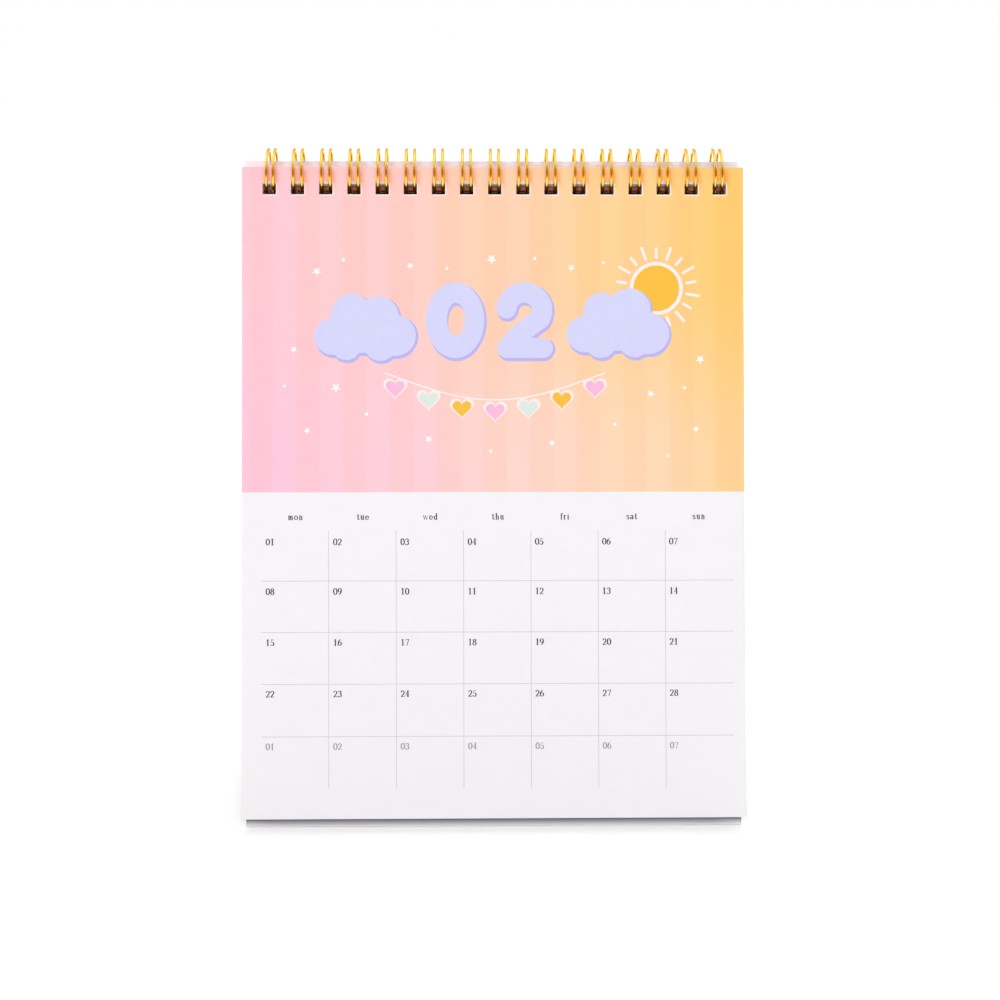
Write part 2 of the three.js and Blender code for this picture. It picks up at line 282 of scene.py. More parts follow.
def gold_wire():
    n = Nodes("gold_wire")
    where = n.coords()
    cloud = n.noise(where, 700.0, 3.0, 0.6)
    bright = n.ramp(cloud, [(0.3, (0.98, 0.59, 0.050, 1)), (0.7, (1.0, 0.63, 0.065, 1))])
    split = n.new("ShaderNodeSeparateXYZ")
    n.link(where, split.inputs[0])
    # angle round the loop, zero at its lowest point, where the wire runs inside the punched holes; there the base
    # colour is painted dark brown as painted shade
    angle = n.math("ARCTAN2", n.math("SUBTRACT", LOOP_Y / 1000.0, split.outputs[1]),
                   n.math("SUBTRACT", LOOP_Z / 1000.0, split.outputs[2]))
    unshaded_part = n.new("ShaderNodeMapRange", interpolation_type="SMOOTHSTEP")
    n.put(unshaded_part.inputs[0], n.math("ABSOLUTE", angle))
    for socket, value in zip(list(unshaded_part.inputs)[1:5], (0.45, 0.78, 0.0, 1.0)):
        socket.default_value = value
    # painted shade: dark brown base colour on the part of the loop inside the holes
    n.put(n.bsdf.inputs["Base Color"], n.mix(unshaded_part.outputs[0], (0.13, 0.055, 0.010, 1), bright))
    rough = n.math("MULTIPLY_ADD", n.noise(where, 2600.0, 3.0, 0.6), 0.10, 0.13)
    n.bump(n.noise(where, 3800.0, 2.0, 0.5), 0.05, 0.00002)
    mat = n.finish(rough, metal=1.0)
    n.bsdf.inputs["Coat Weight"].default_value = 0.25
    n.bsdf.inputs["Coat Roughness"].default_value = 0.12
    return mat


def board_material(name, base, dark, fleck):
    """Pressed grey-brown board: long soft fibres, short dark and light flecks."""
    n = Nodes(name)
    where = n.coords()
    stretch = n.new("ShaderNodeMapping", vector_type="POINT")
    stretch.inputs["Scale"].default_value = (1.0, 0.35, 0.35)
    n.link(where, stretch.inputs["Vector"])
    fibre = n.noise(stretch.outputs[0], 900.0, 6.0, 0.65)
    cloud = n.noise(where, 60.0, 4.0, 0.55)
    specks = n.noise(where, 2400.0, 3.0, 0.7)
    colour = n.ramp(fibre, [(0.32, dark), (0.55, base), (0.72, fleck)])
    tone = n.ramp(cloud, [(0.3, (0.90, 0.90, 0.90, 1)), (0.7, (1.05, 1.04, 1.03, 1))])
    colour = n.mix(1.0, colour, tone, "MULTIPLY")
    spots = n.ramp(specks, [(0.66, (0, 0, 0, 1)), (0.72, (1, 1, 1, 1))])
    split = n.new("ShaderNodeRGBToBW")
    n.link(spots, split.inputs[0])
    colour = n.mix(n.math("MULTIPLY", split.outputs[0], 0.45), colour, dark)
    n.put(n.bsdf.inputs["Base Color"], colour)
    height = n.math("ADD", fibre, n.math("MULTIPLY", specks, 0.4))
    n.bump(height, 0.35, 0.00006)
    return n.finish(n.math("MULTIPLY_ADD", fibre, 0.15, 0.78), spec=0.2)


# ------------------------------------------------------------------ flat regions and solids


def region(adds, cuts=()):
    """Union of closed outlines, less the cuts, as points and triangles in the plane."""
    points, faces = [], []
    for loop in list(adds) + list(cuts):
        start = len(points)
        points.extend(Vector((p[0], p[1])) for p in loop)
        area = sum(loop[i][0] * loop[(i + 1) % len(loop)][1] - loop[(i + 1) % len(loop)][0] * loop[i][1]
                   for i in range(len(loop)))
        order = list(range(start, start + len(loop)))
        faces.append(order if area > 0 else order[::-1])
    vs, _, fs, _, _, owners = delaunay_2d_cdt(points, [], faces, 1, 1e-5)
    tris = []
    for face, own in zip(fs, owners):
        if not own or any(o >= len(adds) for o in own):
            continue
        tris.append(tuple(face))
    used = sorted({i for t in tris for i in t})
    index = {old: new for new, old in enumerate(used)}
    return [tuple(vs[i]) for i in used], [tuple(index[i] for i in t) for t in tris]


def prism(flat, z0, z1, slots=(0, 1, 2), holes=None):
    """A closed solid over a flat region, between two heights: vertices, faces and slot numbers.

    holes gives the slots of the upper and the other walls of holes well inside the outline."""
    points, tris = flat
    if holes:
        xs, ys = [p[0] for p in points], [p[1] for p in points]
        box = (min(xs) + 1.0, min(ys) + 1.0, max(xs) - 1.0, max(ys) - 1.0)
    count = {}
    for t in tris:
        for k in range(3):
            e = (t[k], t[(k + 1) % 3])
            count[e] = True
    rim = [e for e in count if (e[1], e[0]) not in count]
    n = len(points)
    verts = [(x, y, z1) for x, y in points] + [(x, y, z0) for x, y in points]
    faces = [t for t in tris] + [tuple(i + n for i in reversed(t)) for t in tris]
    marks = [slots[0]] * len(tris) + [slots[1]] * len(tris)
    for a, b in rim:
        faces.append((a, a + n, b + n, b))
        mark = slots[2]
        if holes:
            (ax, ay), (bx, by) = points[a], points[b]
            if box[0] < ax < box[2] and box[1] < ay < box[3]:
                facing_down = (ax - bx) < -0.7 * math.hypot(ax - bx, ay - by)
                mark = holes[0] if facing_down else holes[1]
        marks.append(mark)
    return verts, faces, marks


def join(parts):
    verts, faces, marks = [], [], []
    for v, f, m in parts:
        start = len(verts)
        verts.extend(v)
        faces.extend(tuple(i + start for i in face) for face in f)
        marks.extend(m)
    return verts, faces, marks


def shift(part, dx, dy):
    v, f, m = part
    return [(x + dx, y + dy, z) for x, y, z in v], f, m


def place(name, part, basis, materials, body, smooth=False):
    verts, faces, marks = part
    mesh = bpy.data.meshes.new(name)
    world = [basis @ Vector(v) / 1000.0 for v in verts]
    mesh.from_pydata([tuple(v) for v in world], [], faces)
    for m in materials:
        mesh.materials.append(m)
    for poly, mark in zip(mesh.polygons, marks):
        poly.material_index = min(mark, len(materials) - 1)
        poly.use_smooth = smooth
    mesh.validate()
    mesh.update()
    obj = bpy.data.objects.new(name, mesh)
    bpy.context.scene.collection.objects.link(obj)
    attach(obj, body)
    return obj


def rectangle(x0, y0, x1, y1):
    return [(x0, y0), (x1, y0), (x1, y1), (x0, y1)]


def round_rect(x0, y0, x1, y1, r, steps=4):
    pts = []
    for cx, cy, a in ((x1 - r, y0 + r, -90), (x1 - r, y1 - r, 0), (x0 + r, y1 - r, 90), (x0 + r, y0 + r, 180)):
        for k in range(steps + 1):
            t = math.radians(a + 90.0 * k / steps)
            pts.append((cx + r * math.cos(t), cy + r * math.sin(t)))
    return pts


def disc(cx, cy, r, sides=40, ry=None):
    ry = r if ry is None else ry
    return [(cx + r * math.cos(2 * math.pi * k / sides), cy + ry * math.sin(2 * math.pi * k / sides))
            for k in range(sides)]


# ------------------------------------------------------------------ sheets


def punched(x_mid, width, top, height, hole_drop, dx, corner=0.25, notches=(), taller=0.0):
    left, right = x_mid - width / 2, x_mid + width / 2
    outline = round_rect(left, -(top + height), right, -top, corner, 3)
    holes = []
    for i in range(LOOPS):
        x = loop_x(i) + dx
        holes.append(round_rect(x - HOLE / 2, -hole_drop - HOLE, x + HOLE / 2, -hole_drop + taller, 0.22, 3))
    return region([outline], holes + [rectangle(*n) for n in notches])


MONTHS = ["february_leaf", "march_leaf", "april_leaf", "may_leaf", "june_leaf", "july_leaf",
          "august_leaf", "september_leaf", "october_leaf", "november_leaf", "december_leaf"]
left_edge = LEAF_X - LEAF_W / 2

reverse = plain_card("card_reverse", PAPER_WHITE)
edge_card = plain_card("card_edge", lin(240, 238, 243))
# walls of the punched holes: the upper walls painted paler as painted light, the other walls painted warm dark brown
# as painted shade
hole_top_painted_light = plain_card("card_hole_top_painted_light", lin(252, 240, 238, 1.0))
hole_side_painted_shade = plain_card("card_hole_side_painted_shade", lin(190, 106, 62))

feb_print = printed_card(
    "february_print", FRONT, left_edge, feb_top,
    [(0.0, lin(253, 200, 211)), (0.25, lin(253, 203, 200)), (0.5, lin(253, 208, 178)),
     (0.75, lin(254, 209, 147)), (1.0, lin(253, 204, 112))],
    [(0.0, lin(252, 198, 217)), (0.3, lin(253, 204, 213)), (0.55, lin(253, 212, 200)),
     (0.8, lin(254, 215, 179)), (1.0, lin(253, 210, 150))], stripes=1.0, glow=0.93)
TURNED_LIGHT = 1 / 0.92


def far(r, g, b):
    return lin(r, g, b, TURNED_LIGHT)


def near(r, g, b):
    return lin(r, g, b, 1.0)


wash = {
    "march_leaf": ([(0.0, lin(240, 208, 200)), (0.5, lin(240, 212, 200)), (1.0, lin(228, 202, 200))],
                   [(0.0, lin(212, 233, 222)), (0.5, lin(231, 239, 214)), (1.0, lin(247, 238, 203))]),
    "january_leaf": ([(0.0, far(241, 219, 222)), (0.4, far(241, 222, 226)), (0.8, far(237, 222, 220)),
                      (1.0, far(222, 213, 215))],
                     [(0.0, far(226, 218, 243)), (0.5, far(231, 213, 229)), (1.0, far(241, 214, 226))]),
    "cover_leaf": ([(0.0, near(254, 238, 235)), (0.45, near(254, 239, 237)), (0.9, near(240, 226, 230)),
                    (1.0, near(224, 222, 229))],
                   [(0.0, far(250, 214, 222)), (0.5, far(249, 222, 200)), (1.0, far(251, 219, 168))]),
}

for k, node in enumerate(MONTHS):
    offset = FEBRUARY - k * LEAF_PITCH
    top = feb_top + k * STAGGER
    drop = top + HOLE_MARGIN + (LATER_HOLE_DROP if k > 1 else k * MARCH_HOLE_DROP)
    flat = punched(LEAF_X, LEAF_W, top, LEAF_H, drop, 0.0)
    part = prism(flat, offset - LEAF_T / 2, offset + LEAF_T / 2, holes=(3, 4))
    if k == 0:
        front = feb_print
    elif node in wash:
        front = printed_card(node + "_print", FRONT, left_edge, top, *wash[node], stripes=0.8)
    else:
        front = reverse
    body = "february" if k == 0 else "later_leaves"
    piece = place("card_" + node, part, FRONT, [front, reverse, edge_card, hole_top_painted_light, hole_side_painted_shade],
                  body)
    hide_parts(node)

for node, offset, play, body in (("cover_leaf", COVER, COVER_PLAY, "cover"),
                                 ("january_leaf", JANUARY, JANUARY_PLAY, "january")):
    drop = hole_top(offset, play)
    top = drop - HOLE_MARGIN
    flat = punched(LEAF_X + TURNED_SHIFT, LEAF_W, top, LEAF_H, drop, TURNED_SHIFT)
    part = prism(flat, -offset - LEAF_T / 2, -offset + LEAF_T / 2, holes=(2, 3))
    front = printed_card(node + "_print", BACK, left_edge + TURNED_SHIFT, top, *wash[node],
                         boundary=97.85 if node == "january_leaf" else 400.0, stripes=0.6, glow=0.45)
    piece = place("card_" + node, part, BACK, [front, reverse, edge_card, hole_side_painted_shade], body)
    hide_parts(node)

# ------------------------------------------------------------------ boards
board_raw = board_material("grey_board_raw", lin(170, 107, 73), lin(141, 83, 54), lin(188, 126, 92))
board_cut = board_material("grey_board_cut", lin(178, 146, 128), lin(136, 102, 84), lin(202, 176, 160))


def board_solid(x_mid, width, top, height, hole_drop, offset, notches=()):
    """A board with softly rounded outer edges: two thin chamfered skins round a straight core."""
    left, right = x_mid - width / 2, x_mid + width / 2
    c = 0.22
    holes = []
    for i in range(LOOPS):
        x = loop_x(i)
        holes.append(round_rect(x - HOLE / 2, -hole_drop - HOLE, x + HOLE / 2, -hole_drop, 0.22, 3))
    cut = [rectangle(*n) for n in notches]
    flat = region([round_rect(left + c, -(top + height) + c, right - c, -top - c, 0.4, 4)], holes + cut)
    points, tris = flat
    edges = {}
    for t in tris:
        for k in range(3):
            edges[(t[k], t[(k + 1) % 3])] = True
    rim = [e for e in edges if (e[1], e[0]) not in edges]
    n = len(points)
    x_lo, x_hi, y_lo, y_hi = left + c, right - c, -(top + height) + c, -top - c

    def spread(p):
        """Push a point of the outer outline out by the chamfer."""
        x, y = p
        dx = (x - x_hi + 0.4) if x > x_hi - 0.4 else ((x - x_lo - 0.4) if x < x_lo + 0.4 else 0.0)
        dy = (y - y_hi + 0.4) if y > y_hi - 0.4 else ((y - y_lo - 0.4) if y < y_lo + 0.4 else 0.0)
        length = math.hypot(dx, dy)
        if length < 0.39:
            return (x, y)
        return (x + dx / length * c, y + dy / length * c)

    z0, z1 = offset - BOARD_T / 2, offset + BOARD_T / 2
    verts = [(x, y, z1) for x, y in points] + [(x, y, z0) for x, y in points]
    faces = [t for t in tris] + [tuple(i + n for i in reversed(t)) for t in tris]
    marks = [0] * len(tris) + [1] * len(tris)
    rim_points = sorted({i for e in rim for i in e})
    ring = {}
    for i in rim_points:
        sx, sy = spread(points[i])
        moved = math.hypot(sx - points[i][0], sy - points[i][1]) > 1e-6
        h = c * 0.8 if moved else 0.0
        ids = []
        for z in (z1 - h * 0.35, z1 - h, z0 + h, z0 + h * 0.35):
            f = 0.62 if z in (z1 - h * 0.35, z0 + h * 0.35) else 1.0
            ids.append(len(verts))
            verts.append((points[i][0] + (sx - points[i][0]) * f, points[i][1] + (sy - points[i][1]) * f, z))
        if not moved:
            ids = None
        ring[i] = ids
    # vertices that were added for unmoved points stay unused and are dropped below
    for a, b in rim:
        ra, rb = ring[a], ring[b]
        if ra is None or rb is None:
            chain_a = [a, a + n] if ra is None else [a] + ra + [a + n]
            chain_b = [b, b + n] if rb is None else [b] + rb + [b + n]
            faces.append(tuple(chain_a + chain_b[::-1]))
            marks.append(2)
            continue
        chain_a, chain_b = [a] + ra + [a + n], [b] + rb + [b + n]
        for k in range(5):
            faces.append((chain_a[k], chain_a[k + 1], chain_b[k + 1], chain_b[k]))
            marks.append(2)
    used = sorted({i for f in faces for i in f})
    index = {old: new for new, old in enumerate(used)}
    return [verts[i] for i in used], [tuple(index[i] for i in f) for f in faces], marks


piece = place("board_front", board_solid(LEAF_X, BOARD_W, fb_top, BOARD_H, fb_hole, FRONT_BOARD),
              FRONT, [board_raw, board_raw, board_cut], "stand_front")
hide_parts("stand_front_board")


def hinge_tape():
    """Thin paper tape along the foot of the front board, with painted shade where it runs up under the leaves, paler
    towards the floor and a little more so near the board's ends.
    """
    n = Nodes("hinge_tape")
    u, v = sheet_coords(n, FRONT, left_edge, fb_bottom)
    tone = n.new("ShaderNodeMapRange")
    n.put(tone.inputs[0], v)
    for socket, value in zip(list(tone.inputs)[1:5], (-1.9, 0.0, 0.0, 1.0)):
        socket.default_value = value
    middle = n.math("ABSOLUTE", n.math("SUBTRACT", u, LEAF_X - left_edge))
    ends = n.new("ShaderNodeMapRange", interpolation_type="SMOOTHSTEP")
    n.put(ends.inputs[0], middle)
    for socket, value in zip(list(ends.inputs)[1:5], (BOARD_W / 2 - 9.0, BOARD_W / 2 - 0.5, 0.0, 0.75)):
        socket.default_value = value
    level = n.math("MULTIPLY_ADD", n.math("SUBTRACT", 1.0, tone.outputs[0]),
                   n.math("MULTIPLY", ends.outputs[0], tone.outputs[0]), tone.outputs[0])
    # painted shade: dark grey under the overhanging leaves, lighter towards the foot and a little towards the ends
    base = n.ramp(level, [(0.0, lin(126, 123, 134)), (0.3, lin(152, 149, 158)), (0.6, lin(186, 183, 190)),
                          (0.85, lin(214, 211, 216)), (1.0, lin(238, 235, 239))])
    rough = card_grain(n, base)
    return n.finish(rough, spec=0.2)


tape = prism(region([rectangle(LEAF_X - BOARD_W / 2, -fb_bottom, LEAF_X + BOARD_W / 2, -fb_bottom + 12)]),
             FRONT_BOARD + BOARD_T / 2 - 0.02, FRONT_BOARD + BOARD_T / 2 + 0.07, slots=(0, 0, 0))
place("hinge_tape", tape, FRONT, [hinge_tape()], "stand_front")

tab_xs = (LEAF_X - TAB_SPREAD / 2, LEAF_X + TAB_SPREAD / 2)
notch_h = (FLAP_T + NOTCH_HEAD) / math.cos(BACK_LEAN)
notches = [(x - TAB_W / 2 - NOTCH_CLEAR, -bb_bottom - 1.0, x + TAB_W / 2 + NOTCH_CLEAR, -bb_bottom + notch_h)
           for x in tab_xs]
piece = place("board_back", board_solid(LEAF_X, BOARD_W, bb_top, BOARD_H, bb_hole, -BACK_BOARD, notches),
              BACK, [board_raw, board_raw, board_cut], "stand_back")
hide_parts("stand_back_board")

flap_front = LOOP_Y + front_foot + FLAP_T * math.tan(FRONT_LEAN) + FLAP_FRONT_GAP
flap_back = LOOP_Y + back_foot - FLAP_T * math.tan(BACK_LEAN) - FLAP_BACK_GAP
outer_foot = LOOP_Y + bb_outer * math.cos(BACK_LEAN) + bb_bottom * math.sin(BACK_LEAN)
tab_end = outer_foot - FLAP_T * math.tan(BACK_LEAN) - TAB_REACH
flap_outline = [(LEAF_X - BOARD_W / 2, flap_front), (LEAF_X + BOARD_W / 2, flap_front),
                (LEAF_X + BOARD_W / 2, flap_back)]
for x in reversed(tab_xs):
    flap_outline += [(x + TAB_W / 2, flap_back), (x + TAB_W / 2 - 0.8, tab_end),
                     (x - TAB_W / 2 + 0.8, tab_end), (x - TAB_W / 2, flap_back)]
flap_outline.append((LEAF_X - BOARD_W / 2, flap_back))
piece = place("board_flap", prism(region([flap_outline]), 0.0, FLAP_T, slots=(0, 1, 2)),
              Matrix.Identity(4), [board_raw, board_raw, board_cut], "base_flap")
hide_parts("stand_base_flap")

# ------------------------------------------------------------------ wire


def around(x, angle, radius=RADIUS):
    return Vector((x, LOOP_Y - radius * math.sin(angle), LOOP_Z - radius * math.cos(angle)))


def wire_path():
    pts = []
    arc_start = math.radians(LINK_ANGLE) + LINK_CORNER / RADIUS
    steps = 60
    for i in range(LOOPS):
        last = i in (0, LOOPS - 1)
        spacing = END_PAIR if last else PAIR
        sign = 1 if i == 0 else (-1 if i == LOOPS - 1 else 0)
        tip_r = spacing / 2
        arc_end = math.radians(360 - TIP_ANGLE) - tip_r / RADIUS
        mid = loop_x(i)

        def lean(a):
            return sign * END_LEAN * (1 - math.cos(a)) / 2
        for k in range(steps + 1):
            a = arc_start + (arc_end - arc_start) * k / steps
            pts.append(around(mid - spacing / 2 + lean(a), a))
        for k in range(1, 12):
            t = math.pi * k / 12
            a = arc_end + tip_r * math.sin(t) / RADIUS
            pts.append(around(mid - tip_r * math.cos(t) + lean(a), a))
        for k in range(steps + 1):
            a = arc_end + (arc_start - arc_end) * k / steps
            pts.append(around(mid + spacing / 2 + lean(a), a))
        if i < LOOPS - 1:
            nxt = END_PAIR if i + 1 == LOOPS - 1 else PAIR
            a_x = mid + spacing / 2
            b_x = loop_x(i + 1) - nxt / 2
            for k in range(1, 7):
                t = math.pi / 2 * k / 6
                pts.append(around(a_x + LINK_CORNER * (1 - math.cos(t)),
                                  arc_start - LINK_CORNER * math.sin(t) / RADIUS))
            for k in range(6, 0, -1):
                t = math.pi / 2 * k / 6
                pts.append(around(b_x - LINK_CORNER * (1 - math.cos(t)),
                                  arc_start - LINK_CORNER * math.sin(t) / RADIUS))
    return pts


def tube(points, radius, sides):
    """A round closed tube through points, with domed ends."""
    clean = [points[0]]
    for p in points[1:]:
        if (p - clean[-1]).length > 1e-4:
            clean.append(p)
    points = clean
    m = len(points)
    tangents = []
    for i in range(m):
        a = points[max(0, i - 1)]
        b = points[min(m - 1, i + 1)]
        tangents.append((b - a).normalized())
    normal = tangents[0].orthogonal().normalized()
    rings = []
    frames = []
    for i in range(m):
        if i:
            q = tangents[i - 1].rotation_difference(tangents[i])
            normal = (q @ normal).normalized()
            normal = (normal - tangents[i] * normal.dot(tangents[i])).normalized()
        frames.append((points[i], tangents[i], normal.copy()))
    start_cap = [(frames[0][0] - frames[0][1] * radius * s, frames[0][1], frames[0][2], radius * c)
                 for s, c in ((0.92, 0.38), (0.7, 0.71), (0.38, 0.92))]
    end_cap = [(frames[-1][0] + frames[-1][1] * radius * s, frames[-1][1], frames[-1][2], radius * c)
               for s, c in ((0.38, 0.92), (0.7, 0.71), (0.92, 0.38))]
    stations = start_cap + [(p, t, n, radius) for p, t, n in frames] + end_cap
    verts, faces = [], []
    for p, t, n, r in stations:
        b = t.cross(n)
        for k in range(sides):
            a = 2 * math.pi * k / sides
            verts.append(tuple(p + n * (r * math.cos(a)) + b * (r * math.sin(a))))
    for i in range(len(stations) - 1):
        for k in range(sides):
            a, b = i * sides + k, i * sides + (k + 1) % sides
            faces.append((a, b, b + sides, a + sides))
    faces.append(tuple(range(sides - 1, -1, -1)))
    last = (len(stations) - 1) * sides
    faces.append(tuple(last + k for k in range(sides)))
    return verts, faces, [0] * len(faces)


gold = gold_wire()
piece = place("twin_loop_wire", tube(wire_path(), WIRE / 2, 14), Matrix.Identity(4), [gold],
              "stand_front", smooth=True)
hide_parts("wire_binding")

# ------------------------------------------------------------------ lettering and figures


def stroke(points, thick=0.094, thin=0.038, cap=True):
    """A pen stroke that is broad where it runs up and down and fine where it runs across."""
    loops = []
    widths = []
    for i in range(len(points)):
        a, b = points[max(0, i - 1)], points[min(len(points) - 1, i + 1)]
        dx, dy = b[0] - a[0], b[1] - a[1]
        length = math.hypot(dx, dy) or 1.0
        widths.append(thin + (thick - thin) * abs(dy / length) ** 1.6)
    for i in range(len(points) - 1):
        (x0, y0), (x1, y1) = points[i], points[i + 1]
        dx, dy = x1 - x0, y1 - y0
        length = math.hypot(dx, dy)
        if length < 1e-6:
            continue
        nx, ny = -dy / length, dx / length
        w0, w1 = widths[i], widths[i + 1]
        loops.append([(x0 + nx * w0, y0 + ny * w0), (x0 - nx * w0, y0 - ny * w0),
                      (x1 - nx * w1, y1 - ny * w1), (x1 + nx * w1, y1 + ny * w1)])
    inner = range(len(points)) if cap else range(1, len(points) - 1)
    for i in inner:
        loops.append(disc(points[i][0], points[i][1], widths[i], 8))
    return loops


def arc(cx, cy, rx, ry, a0, a1, n=12):
    return [(cx + rx * math.cos(math.radians(a0 + (a1 - a0) * k / n)),
             cy + ry * math.sin(math.radians(a0 + (a1 - a0) * k / n))) for k in range(n + 1)]


def bar(x0, x1, y, t=0.024):
    return [rectangle(x0, y - t, x1, y + t)]


def glyph_strokes(ch):
    """Strokes of a plain seriffed figure or letter; figures are 1 high, small letters 0.68."""
    s = stroke
    if ch == "0":
        return s(arc(.32, .5, .25, .47, 0, 360, 24)), .68
    if ch == "1":
        return s([(.33, .05), (.33, .95)]) + s([(.12, .82), (.33, .95)], .03, .03) + bar(.14, .52, .03), .68
    if ch == "2":
        return (s(arc(.31, .70, .22, .25, 165, -20, 12) + [(.42, .44), (.10, .05)])
                + bar(.08, .56, .05, .045) + s([(.55, .06), (.58, .20)], .025, .02)), .68
    if ch == "3":
        return s(arc(.30, .73, .20, .22, 150, -80, 12)) + s(arc(.29, .28, .24, .26, 85, -150, 14)), .68
    if ch == "4":
        return s([(.42, .95), (.42, .04)]) + s([(.40, .93), (.06, .30)], .03, .03) + bar(.05, .60, .30, .035) \
            + bar(.28, .56, .03), .68
    if ch == "5":
        return bar(.16, .52, .93, .045) + s([(.17, .93), (.14, .56)], .03, .03) \
            + s(arc(.29, .31, .24, .28, 118, -150, 14)), .68
    if ch == "6":
        return s(arc(.32, .31, .23, .28, 0, 360, 22)) + s(arc(.56, .36, .47, .60, 178, 105, 12)), .68
    if ch == "7":
        return bar(.08, .58, .92, .045) + s([(.56, .92), (.26, .04)], .06, .03) \
            + s([(.09, .92), (.07, .78)], .025, .02), .68
    if ch == "8":
        return s(arc(.32, .74, .18, .21, 0, 360, 20)) + s(arc(.32, .27, .23, .25, 0, 360, 20)), .68
    if ch == "9":
        return s(arc(.32, .69, .23, .28, 0, 360, 22)) + s(arc(.08, .64, .47, .60, -2, -75, 12)), .68
    stem = lambda x, y0=.03, y1=.66: s([(x, y0), (x, y1)])
    if ch == "m":
        return stem(.16) + s(arc(.29, .47, .13, .17, 165, 0, 8) + [(.42, .03)]) \
            + s(arc(.55, .47, .13, .17, 165, 0, 8) + [(.68, .03)]) \
            + bar(.05, .27, .025) + bar(.32, .52, .025) + bar(.58, .79, .025) + s([(.04, .60), (.16, .66)], .025, .025), .86
    if ch == "n":
        return stem(.16) + s(arc(.31, .46, .15, .18, 165, 0, 8) + [(.46, .03)]) \
            + bar(.05, .27, .025) + bar(.35, .57, .025) + s([(.04, .60), (.16, .66)], .025, .025), .64
    if ch == "h":
        return stem(.16, .03, 1.0) + s(arc(.31, .46, .15, .18, 165, 0, 8) + [(.46, .03)]) \
            + bar(.05, .27, .025) + bar(.35, .57, .025) + s([(.04, .95), (.16, 1.0)], .025, .025), .64
    if ch == "o":
        return s(arc(.32, .34, .23, .31, 0, 360, 20)), .66
    if ch == "e":
        return s(arc(.31, .34, .22, .31, 0, 320, 18)) + bar(.09, .52, .36, .022), .62
    if ch == "a":
        return s(arc(.27, .50, .15, .15, 160, 0, 8) + [(.42, .10)]) + s(arc(.24, .19, .15, .16, 0, 360, 14)) \
            + s([(.42, .12), (.47, .03), (.54, .07)], .03, .025), .58
    if ch == "u":
        return stem(.16, .22, .66) + s(arc(.31, .20, .15, .17, 180, 350, 8)) + stem(.46) \
            + s([(.04, .63), (.16, .66)], .025, .025) + s([(.34, .63), (.46, .66)], .025, .025) \
            + s([(.46, .04), (.56, .06)], .025, .025), .64
    if ch == "t":
        return s([(.20, .84), (.20, .16)]) + s(arc(.31, .14, .11, .11, 180, 330, 6)) + bar(.07, .38, .64, .025), .46
    if ch == "i":
        return stem(.16) + bar(.05, .28, .025) + s([(.04, .60), (.16, .66)], .025, .025) \
            + [disc(.15, .90, .065, 12)], .36
    if ch == "f":
        return s([(.20, .03), (.20, .80)]) + s(arc(.33, .80, .13, .17, 180, 40, 8)) + bar(.08, .38, .64, .025) \
            + bar(.08, .34, .025), .42
    if ch == "r":
        return stem(.16) + s(arc(.30, .46, .13, .18, 160, 50, 6)) + bar(.05, .30, .025) \
            + s([(.04, .60), (.16, .66)], .025, .025), .48
    if ch == "s":
        return s(arc(.26, .49, .15, .15, 30, 200, 8) + arc(.27, .18, .16, .16, 60, -150, 10)), .52
    if ch == "d":
        return s([(.46, .05), (.46, 1.0)]) + s(arc(.29, .33, .19, .30, 20, 340, 16)) \
            + s([(.35, .96), (.46, 1.0)], .025, .025) + s([(.46, .04), (.57, .05)], .025, .025), .66
    if ch == "w":
        return s([(.08, .66), (.25, .04)], .06, .05) + s([(.25, .04), (.42, .60)], .025, .025) \
            + s([(.40, .66), (.57, .04)], .06, .05) + s([(.57, .04), (.74, .66)], .025, .025) \
            + bar(.0, .18, .65, .022) + bar(.66, .82, .65, .022), .84
    return [], .35


glyph_cache = {}


def glyph(ch):
    if ch not in glyph_cache:
        loops, advance = glyph_strokes(ch)
        glyph_cache[ch] = (region(loops) if loops else ([], []), advance)
    return glyph_cache[ch]


def lettering(text, x, y, size, z0, z1, align="left", tracking=0.0):
    """Ink solids for a line of text; size is the height of a figure."""
    width = sum(glyph(c)[1] + tracking for c in text) * size - tracking * size
    if align == "centre":
        x -= width / 2
    parts = []
    for c in text:
        (pts, tris), advance = glyph(c)
        if tris:
            parts.append(prism(([(x + px * size, y + py * size) for px, py in pts], tris), z0, z1, slots=(0, 0, 0)))
        x += (advance + tracking) * size
    return parts


ink_dark = ink("ink_dark", lin(46, 46, 50))
ink_head = ink("ink_heading", lin(70, 70, 75))
ink_pale = ink("ink_pale", lin(152, 152, 156))
ink_line = ink("ink_rule", lin(207, 207, 213))

WEEKDAYS = ["mon", "tue", "wed", "thu", "fri", "sat", "sun"]


